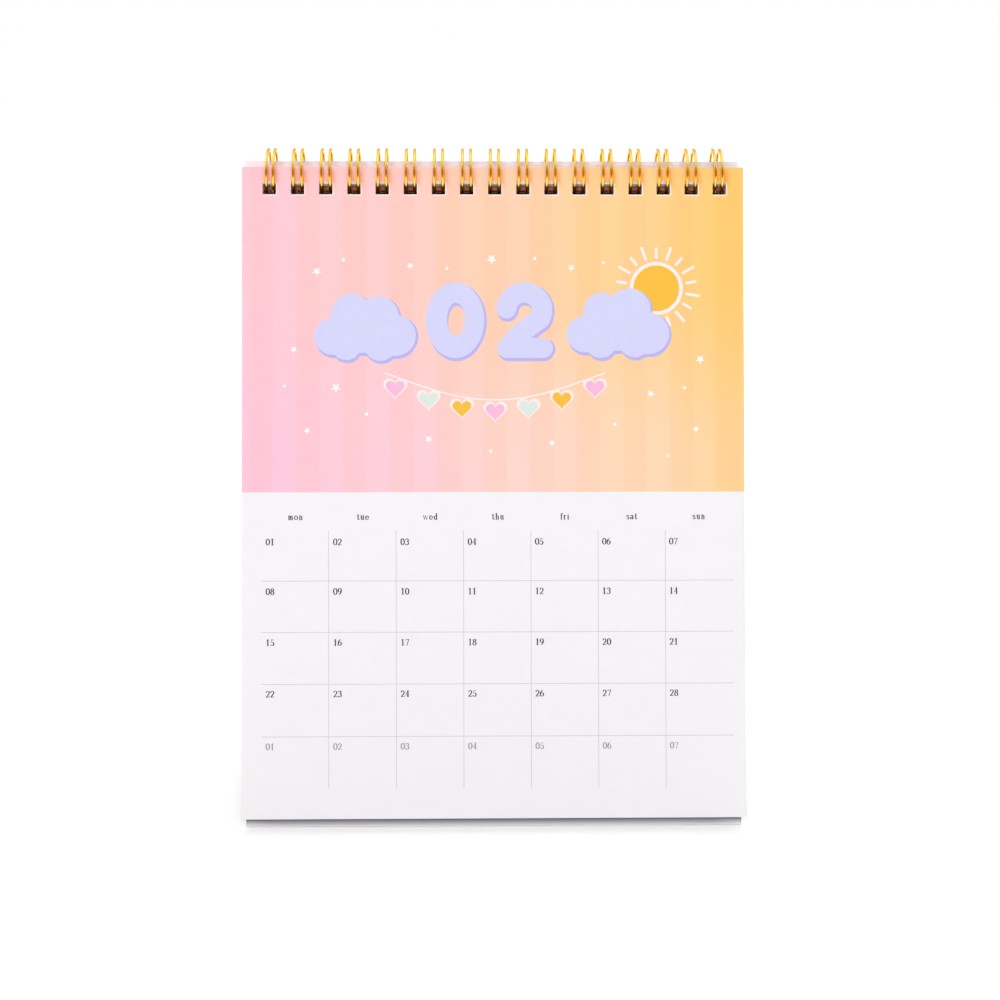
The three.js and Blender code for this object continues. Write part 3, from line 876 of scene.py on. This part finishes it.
def month_grid(tag, basis, left, top, face, sign_body, first, days, next_days, shift_x=0.0):
    """Weekday headings, ruled grid and day numbers in ink, a hair proud of the card."""
    x0 = left
    z0, z1 = face - 0.008, face + 0.016
    heads, dark, pale, rules = [], [], [], []
    head_u = [16.07, 36.26, 56.48, 76.72, 96.79, 116.93, 137.1]
    for name, u in zip(WEEKDAYS, head_u):
        heads += lettering(name, x0 + u, -top - 106.12, 1.86, z0, z1, "centre", 0.12)
    col = [26.0 + 20.2 * k for k in range(6)]
    row = [124.45, 139.8, 155.3, 170.95]
    w = 0.10
    lines = [rectangle(x0 + u - w, -top - 186.4, x0 + u + w, -top - 109.3) for u in col]
    lines += [rectangle(x0 + 5.9, -top - v - w, x0 + 147.4, -top - v + w) for v in row]
    rules.append(prism(region(lines), z0, face + 0.012, slots=(0, 0, 0)))
    mid_v = [112.75, 127.6, 142.85, 158.2, 173.9]
    day = 1 - first
    for r in range(5):
        for c in range(7):
            x = x0 + 7.2 + 20.16 * c
            y = -top - mid_v[r] - 0.95
            if 1 <= day <= days:
                dark += lettering("%02d" % day, x, y, 1.96, z0, z1)
            elif day > days and next_days:
                pale += lettering("%02d" % (day - days), x, y, 1.96, z0, z1)
            day += 1
    for suffix, parts, mat in (("headings", heads, ink_head), ("days", dark, ink_dark),
                               ("next_days", pale, ink_pale), ("rules", rules, ink_line)):
        if parts:
            place("%s_%s" % (tag, suffix), join(parts), basis, [mat], sign_body)


month_grid("february", FRONT, left_edge, feb_top, FEBRUARY + LEAF_T / 2, "february", 0, 28, True)
march_off = FEBRUARY - LEAF_PITCH
march_top = feb_top + STAGGER
month_grid("march", FRONT, left_edge, march_top, march_off + LEAF_T / 2, "later_leaves", 0, 31, True)
month_grid("january", BACK, left_edge + TURNED_SHIFT, jan_top, -JANUARY + LEAF_T / 2, "january", 4, 31, True)

# ------------------------------------------------------------------ printed picture
lavender = ink("ink_lavender", lin(214, 215, 250))
lavender_deep = ink("ink_lavender_shade", lin(186, 182, 244))
orange = ink("ink_orange", lin(250, 193, 66))
mint = ink("ink_mint", lin(222, 235, 226))
pink = ink("ink_pink", lin(251, 188, 224))
cream = ink("ink_cream", lin(252, 240, 236))
white_ink = ink("ink_white", lin(253, 252, 251))


def puff(cx, cy, lobes, n=140):
    """Outline of a cloud: the outer edge of a ring of discs, seen from its middle."""
    pts = []
    for k in range(n):
        a = 2 * math.pi * k / n
        dx, dy = math.cos(a), math.sin(a)
        best = 0.0
        for lx, ly, r in lobes:
            b = lx * dx + ly * dy
            c = lx * lx + ly * ly - r * r
            disc_ = b * b - c
            if disc_ >= 0:
                best = max(best, b + math.sqrt(disc_))
        pts.append((cx + dx * best, cy + dy * best))
    return pts


def star(cx, cy, r, inner=0.42, points=5, turn=90.0):
    pts = []
    for k in range(points * 2):
        rr = r if k % 2 == 0 else r * inner
        a = math.radians(turn + 180.0 * k / points)
        pts.append((cx + rr * math.cos(a), cy + rr * math.sin(a)))
    return pts


def heart(cx, cy, s, n=48):
    pts = []
    for k in range(n):
        t = 2 * math.pi * k / n
        x = 16 * math.sin(t) ** 3
        y = 13 * math.cos(t) - 5 * math.cos(2 * t) - 2 * math.cos(3 * t) - math.cos(4 * t)
        pts.append((cx + s * x / 17.0, cy + s * (y + 2.5) / 17.0))
    return pts


def band(points, half, taper=None):
    """A broad round-ended band along points."""
    loops = []
    for i in range(len(points) - 1):
        (x0, y0), (x1, y1) = points[i], points[i + 1]
        h0 = half if taper is None else taper(i)
        h1 = half if taper is None else taper(i + 1)
        dx, dy = x1 - x0, y1 - y0
        length = math.hypot(dx, dy)
        if length < 1e-6:
            continue
        nx, ny = -dy / length, dx / length
        loops.append([(x0 + nx * h0, y0 + ny * h0), (x0 - nx * h0, y0 - ny * h0),
                      (x1 - nx * h1, y1 - ny * h1), (x1 + nx * h1, y1 + ny * h1)])
    for i, (x, y) in enumerate(points):
        loops.append(disc(x, y, half if taper is None else taper(i), 28))
    return loops


class Print:
    """Layers of ink on a leaf's face, in millimetres right of and below its top left corner."""

    def __init__(self, tag, basis, left, top, face, body):
        self.tag, self.basis, self.left, self.top, self.face, self.body = tag, basis, left, top, face, body
        self.layers = {}
        self.level = 0

    def add(self, name, material, adds, cuts=(), level=1):
        flip = lambda loop: [(self.left + x, -self.top - y) for x, y in loop]
        flat = region([flip(l) for l in adds], [flip(l) for l in cuts])
        part = prism(flat, self.face - 0.008, self.face + 0.010 + 0.008 * level, slots=(0, 0, 0))
        self.layers.setdefault(name, (material, []))[1].append(part)

    def done(self):
        for name, (material, parts) in self.layers.items():
            place("%s_%s" % (self.tag, name), join(parts), self.basis, [material], self.body)


def shaded(p, name, loops, cuts=(), drop=(0.75, 0.95), level=2):
    """A lavender shape with its deeper lower edge, as if it were a little thick."""
    low = [[(x + drop[0] * 0.5, y + drop[1]) for x, y in l] for l in loops]
    side = [[(x + drop[0], y + drop[1] * 0.35) for x, y in l] for l in loops]
    holes = [[(x + drop[0] * 0.5, y + drop[1]) for x, y in l] for l in cuts]
    p.add(name + "_shade", lavender_deep, low + side, holes, level)
    p.add(name + "_face", lavender, loops, cuts, level + 1)


p = Print("february_art", FRONT, left_edge, feb_top, FEBRUARY + LEAF_T / 2, "february")


def numeral_zero(cx, cy, w, h, t):
    outer = disc(cx, cy, w / 2, 64, h / 2)
    inner = disc(cx + 0.2, cy - 0.3, w / 2 - t, 40, h / 2 - t * 1.05)
    return [outer], [inner]


def numeral_two(cx, cy, w, h, t):
    r = w / 2 - t / 2
    top_c = (cx, cy - h / 2 + t / 2 + r)
    pts = [(top_c[0] + r * math.cos(math.radians(a)), top_c[1] + r * math.sin(math.radians(a)))
           for a in range(185, 396, 12)]
    x_end, y_end = pts[-1]
    foot = (cx - w / 2 + t / 2 + 0.3, cy + h / 2 - t / 2)
    for k in range(1, 7):
        f = k / 6
        pts.append((x_end + (foot[0] - x_end) * f - 0.9 * math.sin(math.pi * f),
                    y_end + (foot[1] - y_end) * f))
    pts.append((cx + w / 2 - t / 2 + 0.2, cy + h / 2 - t / 2))
    return band(pts, t / 2)


# month number between two clouds, with a plain sun behind the right one
zero, zero_cut = numeral_zero(64.0, 46.2, 17.5, 22.8, 6.1)
shaded(p, "zero", zero, zero_cut, level=3)
shaded(p, "two", numeral_two(84.8, 46.2, 16.8, 22.8, 6.0), level=3)

left_cloud = puff(36.5, 48.4, [(0, 0, 7.6), (-9.2, 2.6, 5.6), (9.6, 2.4, 6.1), (-3.6, -4.2, 6.0), (4.6, -3.4, 5.9),
                               (-5.2, 5.4, 4.4), (5.0, 5.2, 4.8)])
right_cloud = puff(112.6, 47.6, [(0, 0, 7.8), (-9.6, 2.8, 5.5), (9.6, 2.6, 6.2), (-4.4, -4.0, 5.7), (3.8, -4.6, 6.4),
                                 (-4.8, 5.4, 4.6), (5.4, 5.2, 4.6)])
shaded(p, "cloud_left", [left_cloud], level=3)
shaded(p, "cloud_right", [right_cloud], level=3)

sun = (124.6, 36.6)
rays = []
for a in range(0, 360, 20):
    c, d = math.cos(math.radians(a + 10)), math.sin(math.radians(a + 10))
    inner, outer = 9.3, 11.9 if a % 40 else 12.9
    rays += band([(sun[0] + inner * c, sun[1] + inner * d), (sun[0] + outer * c, sun[1] + outer * d)], 0.42)
p.add("sun_rim", cream, [disc(sun[0], sun[1], 8.0, 64)] + rays, level=1)
p.add("sun_disc", orange, [disc(sun[0], sun[1], 6.9, 64)], level=2)

# a gently hanging row of hearts under the number
garland = []
for k in range(7):
    f = k / 6
    x = 46.0 + 60.0 * f
    y = 64.6 + 7.0 * math.sin(math.pi * f)
    garland.append((x, y))
cord = [(46.0 + 60.0 * t / 40, 63.2 + 7.0 * math.sin(math.pi * t / 40)) for t in range(-2, 43)]
p.add("cord", white_ink, band(cord, 0.16), level=1)
for k, (x, y) in enumerate(garland):
    colour, name = ((pink, "hearts_pink"), (mint, "hearts_mint"), (orange, "hearts_orange"))[k % 3]
    size = 3.0
    mirrored = [(px, 2 * (y + 2.4) - py) for px, py in heart(x, y + 2.4, size)]
    rim = [(px, 2 * (y + 2.4) - py) for px, py in heart(x, y + 2.5, size * 1.27)]
    p.add("hearts_rim", cream, [rim], level=2)
    p.add(name, colour, [mirrored], level=3)

# painted highlight along the lower and right edge of each hole
hole_rim_highlight = ink("ink_hole_rim_highlight", lin(253, 238, 232))
h0 = HOLE_MARGIN
for k in range(LOOPS):
    x = loop_x(k) - left_edge
    a, b = x - HOLE / 2 + 0.15, x + HOLE / 2
    p.add("hole_rim_highlights", hole_rim_highlight, [[(a, h0 + HOLE + 0.02), (b + 0.02, h0 + HOLE + 0.02), (b + 0.02, h0 + 0.5), (b + 0.3, h0 + 0.7),
                                     (b + 0.36, h0 + HOLE + 0.1), (b + 0.1, h0 + HOLE + 0.38), (a, h0 + HOLE + 0.34)]], level=1)

# stars and dots
for x, y, r in ((22.5, 31.5, 1.5), (50.5, 29.8, 1.2), (75.0, 27.8, 1.6), (99.0, 30.4, 1.2), (137.8, 58.0, 1.5),
                (15.6, 55.0, 1.2), (28.2, 66.5, 1.6), (122.8, 68.4, 1.3), (136.4, 79.0, 1.1), (19.6, 79.4, 1.2),
                (56.0, 82.0, 1.3), (93.0, 83.2, 1.1)):
    p.add("stars", white_ink, [star(x, y, r)], level=1)
for x, y, r in ((30.5, 28.0, .5), (61.6, 30.6, .45), (88.0, 27.6, .5), (108.6, 28.8, .45), (133.0, 66.6, .5),
                (12.8, 66.0, .45), (37.4, 74.4, .55), (112.0, 77.6, .5), (74.6, 85.6, .5), (128.0, 87.0, .45)):
    p.add("dots", white_ink, [disc(x, y, r, 18)], level=1)
p.done()

# March: three plain leaves on stems and dots; January: snow dots
q = Print("march_art", FRONT, left_edge, march_top, march_off + LEAF_T / 2, "later_leaves")
leaf_green = ink("ink_green", lin(168, 205, 176))
for cx, cy, turn, s in ((46.0, 50.0, 20, 1.0), (75.5, 46.0, -8, 1.15), (105.0, 50.0, -24, 1.0)):
    stem = [(cx + 0.0, cy + 16 * s), (cx + 0.4, cy + 4 * s), (cx, cy - 10 * s)]
    q.add("stems", leaf_green, band(stem, 0.35), level=1)
    for k in range(5):
        for side in (-1, 1):
            a = math.radians(turn * 0.3 + side * 38)
            bx, by = cx + side * 4.0, cy + 9 * s - k * 4.6 * s
            loop = []
            for j in range(36):
                t = 2 * math.pi * j / 36
                ex, ey = 3.9 * s * math.cos(t), 1.6 * s * math.sin(t)
                loop.append((bx + ex * math.cos(a) * side + ey * math.sin(a) * side * 0.4, by - ex * math.sin(abs(a)) + ey))
            q.add("leaves", leaf_green if (k + (side > 0)) % 2 else mint, [loop], level=2)
for k in range(16):
    q.add("dots", white_ink, [disc(12 + (k * 37) % 128, 26 + (k * 23) % 62, 0.55, 18)], level=1)
q.done()
q = Print("january_art", BACK, left_edge + TURNED_SHIFT, jan_top, -JANUARY + LEAF_T / 2, "january")
for k in range(34):
    q.add("snow", white_ink, [disc(10 + (k * 41) % 131, 22 + (k * 29) % 70, 0.6 + 0.35 * (k % 3), 20)], level=1)
q.done()

# ------------------------------------------------------------------ floor, light, camera
scene = bpy.context.scene
scene.view_settings.view_transform = "Standard"
scene.view_settings.look = "None"
scene.view_settings.exposure = 0.0
scene.view_settings.gamma = 1.0

floor_mesh = bpy.data.meshes.new("floor")
S = 12.0
floor_mesh.from_pydata([(-S, -S, 0), (S, -S, 0), (S, S, 0), (-S, S, 0)], [], [(0, 1, 2, 3)])
floor_mat = bpy.data.materials.new("floor_white")
floor_mat.use_nodes = True
tree = floor_mat.node_tree
tree.nodes.clear()
out = tree.nodes.new("ShaderNodeOutputMaterial")
add = tree.nodes.new("ShaderNodeAddShader")
diff = tree.nodes.new("ShaderNodeBsdfDiffuse")
diff.inputs[0].default_value = (0.86, 0.86, 0.86, 1)
glow = tree.nodes.new("ShaderNodeEmission")
ray = tree.nodes.new("ShaderNodeLightPath")
where = tree.nodes.new("ShaderNodeTexCoord")
distance = tree.nodes.new("ShaderNodeVectorMath")
distance.operation = "LENGTH"
fade = tree.nodes.new("ShaderNodeMapRange")
fade.interpolation_type = "SMOOTHSTEP"
for socket, value in zip(list(fade.inputs)[1:5], (0.15, 1.6, 0.365, 0.80)):
    socket.default_value = value
lift = tree.nodes.new("ShaderNodeMath")
lift.operation = "MULTIPLY"
tree.links.new(where.outputs["Object"], distance.inputs[0])
tree.links.new(distance.outputs["Value"], fade.inputs[0])
# soft shade on the floor in front of the foot
spot = tree.nodes.new("ShaderNodeSeparateXYZ")
tree.links.new(where.outputs["Object"], spot.inputs[0])


def floor_math(operation, a, b=None):
    node = tree.nodes.new("ShaderNodeMath")
    node.operation = operation
    for socket, value in zip(node.inputs, (a, b)):
        if value is None:
            continue
        if isinstance(value, bpy.types.NodeSocket):
            tree.links.new(value, socket)
        else:
            socket.default_value = value
    return node.outputs[0]


def floor_range(value, a, b, c, d):
    node = tree.nodes.new("ShaderNodeMapRange")
    node.interpolation_type = "SMOOTHSTEP"
    tree.links.new(value, node.inputs[0])
    for socket, number in zip(list(node.inputs)[1:5], (a, b, c, d)):
        socket.default_value = number
    return node.outputs[0]


shade = floor_math("MULTIPLY", floor_range(floor_math("ABSOLUTE", spot.outputs[0]), 0.062, 0.095, 1.0, 0.0),
                   floor_range(spot.outputs[1], -0.100, -0.050, 0.0, 0.08))
tree.links.new(ray.outputs["Is Camera Ray"], lift.inputs[0])
tree.links.new(floor_math("SUBTRACT", fade.outputs[0], shade), lift.inputs[1])
mirror = tree.nodes.new("ShaderNodeMath")
mirror.operation = "MULTIPLY_ADD"
mirror.inputs[1].default_value = 0.38
tree.links.new(ray.outputs["Is Glossy Ray"], mirror.inputs[0])
tree.links.new(lift.outputs[0], mirror.inputs[2])
tree.links.new(mirror.outputs[0], glow.inputs[1])
tree.links.new(diff.outputs[0], add.inputs[0])
tree.links.new(glow.outputs[0], add.inputs[1])
tree.links.new(add.outputs[0], out.inputs[0])
floor_mesh.materials.append(floor_mat)
floor = bpy.data.objects.new("floor", floor_mesh)
scene.collection.objects.link(floor)

# a dark card lying in front of the calendar, only for the wire to reflect
card_mesh = bpy.data.meshes.new("dark_card")
card_mesh.from_pydata([(-4.0, -8.0, 0.001), (4.0, -8.0, 0.001), (4.0, -0.36, 0.001), (-4.0, -0.36, 0.001)],
                      [], [(0, 1, 2, 3)])
card_mat = bpy.data.materials.new("dark_card")
card_mat.use_nodes = True
ct = card_mat.node_tree
ct.nodes.clear()
card_out = ct.nodes.new("ShaderNodeOutputMaterial")
card_glow = ct.nodes.new("ShaderNodeEmission")
card_where = ct.nodes.new("ShaderNodeTexCoord")
card_split = ct.nodes.new("ShaderNodeSeparateXYZ")
card_range = ct.nodes.new("ShaderNodeMapRange")
for socket, value in zip(list(card_range.inputs)[1:5], (-0.36, -1.5, 0.0, 1.0)):
    socket.default_value = value
card_tone = ct.nodes.new("ShaderNodeValToRGB")
card_tone.color_ramp.elements[0].color = (0.72, 0.44, 0.16, 1)
card_tone.color_ramp.elements[1].color = (0.28, 0.15, 0.06, 1)
card_tone.color_ramp.elements.new(0.3).color = (0.40, 0.20, 0.06, 1)
ct.links.new(card_where.outputs["Object"], card_split.inputs[0])
ct.links.new(card_split.outputs[1], card_range.inputs[0])
ct.links.new(card_range.outputs[0], card_tone.inputs[0])
ct.links.new(card_tone.outputs[0], card_glow.inputs[0])
ct.links.new(card_glow.outputs[0], card_out.inputs[0])
card_mesh.materials.append(card_mat)
card = bpy.data.objects.new("dark_card", card_mesh)
scene.collection.objects.link(card)
card.visible_camera = False
card.visible_diffuse = False
card.visible_shadow = False

world = bpy.data.worlds.new("studio")
scene.world = world
world.use_nodes = True
wt = world.node_tree
wt.nodes.clear()
wo = wt.nodes.new("ShaderNodeOutputWorld")
mixer = wt.nodes.new("ShaderNodeMixShader")
path = wt.nodes.new("ShaderNodeLightPath")
soft = wt.nodes.new("ShaderNodeBackground")
soft.inputs[0].default_value = (1.0, 0.995, 1.0, 1)
soft.inputs[1].default_value = 0.45
seen = wt.nodes.new("ShaderNodeBackground")
seen.inputs[0].default_value = (1, 1, 1, 1)
seen.inputs[1].default_value = 1.0
gleam = wt.nodes.new("ShaderNodeBackground")
gleam.inputs[1].default_value = 1.0
sky = wt.nodes.new("ShaderNodeTexCoord")
height = wt.nodes.new("ShaderNodeSeparateXYZ")
tone = wt.nodes.new("ShaderNodeValToRGB")
# by angle from the front horizon (0) over the top (0.5) to the rear horizon (1)
steps = [(0.0, (0.34, 0.18, 0.07)), (0.07, (0.46, 0.27, 0.10)), (0.13, (0.62, 0.45, 0.22)), (0.21, (0.76, 0.68, 0.52)),
         (0.29, (0.96, 1.02, 1.10)), (0.38, (1.08, 1.30, 2.20)), (0.54, (1.15, 1.50, 3.00)),
         (0.67, (1.04, 1.00, 1.05)), (0.82, (0.99, 0.66, 0.34)), (1.0, (0.80, 0.46, 0.20))]
for stop, colour in steps:
    if stop == 0.0:
        step = tone.color_ramp.elements[0]
    elif stop == 1.0:
        step = tone.color_ramp.elements[-1]
    else:
        step = tone.color_ramp.elements.new(stop)
    step.position = stop
    step.color = colour + (1.0,)
ahead = wt.nodes.new("ShaderNodeMath")
ahead.operation = "MULTIPLY"
ahead.inputs[1].default_value = -1.0
turn_angle = wt.nodes.new("ShaderNodeMath")
turn_angle.operation = "ARCTAN2"
share = wt.nodes.new("ShaderNodeMath")
share.operation = "DIVIDE"
share.inputs[1].default_value = math.pi
wt.links.new(sky.outputs["Generated"], height.inputs[0])
wt.links.new(height.outputs[1], ahead.inputs[0])
wt.links.new(height.outputs[2], turn_angle.inputs[0])
wt.links.new(ahead.outputs[0], turn_angle.inputs[1])
wt.links.new(turn_angle.outputs[0], share.inputs[0])
wt.links.new(share.outputs[0], tone.inputs[0])
wt.links.new(tone.outputs[0], gleam.inputs[0])
first = wt.nodes.new("ShaderNodeMixShader")
wt.links.new(path.outputs["Is Glossy Ray"], first.inputs[0])
wt.links.new(soft.outputs[0], first.inputs[1])
wt.links.new(gleam.outputs[0], first.inputs[2])
wt.links.new(path.outputs["Is Camera Ray"], mixer.inputs[0])
wt.links.new(first.outputs[0], mixer.inputs[1])
wt.links.new(seen.outputs[0], mixer.inputs[2])
wt.links.new(mixer.outputs[0], wo.inputs[0])


def area(name, loc, target, size, power, size_y=None):
    data = bpy.data.lights.new(name, "AREA")
    data.energy = power
    data.size = size
    if size_y:
        data.shape = "RECTANGLE"
        data.size_y = size_y
    obj = bpy.data.objects.new(name, data)
    obj.location = loc
    obj.rotation_euler = (Vector(target) - Vector(loc)).to_track_quat("-Z", "Y").to_euler()
    obj.visible_glossy = False
    scene.collection.objects.link(obj)
    return obj


area("front_soft", (-0.10, -1.95, 0.88), (0, 0, 0.10), 0.9, 32.3, 0.6)
area("rear_soft", (0.1, 1.05, 1.15), (0, 0, 0.10), 1.0, 16.0, 0.7)

camera_data = bpy.data.cameras.new("camera")
camera_data.sensor_width = 36.0
camera_data.lens = 1899.25 * 36.0 / 1000.0
camera_data.clip_start = 0.01
camera_data.clip_end = 50.0
yaw, pitch, roll = math.radians(1.0665), math.radians(12.8653), math.radians(0.1246)
forward = Vector((math.sin(yaw) * math.cos(pitch), math.cos(yaw) * math.cos(pitch), -math.sin(pitch)))
right = Vector((math.cos(yaw), -math.sin(yaw), 0.0))
up = right.cross(forward)
r2 = right * math.cos(roll) + up * math.sin(roll)
u2 = up * math.cos(roll) - right * math.sin(roll)
turn = Matrix((r2, u2, -forward)).transposed().to_4x4()
camera = bpy.data.objects.new("camera", camera_data)
camera.matrix_world = Matrix.Translation(Vector((-8.378, -579.921, 223.03)) / 1000.0) @ turn
scene.collection.objects.link(camera)
scene.camera = camera
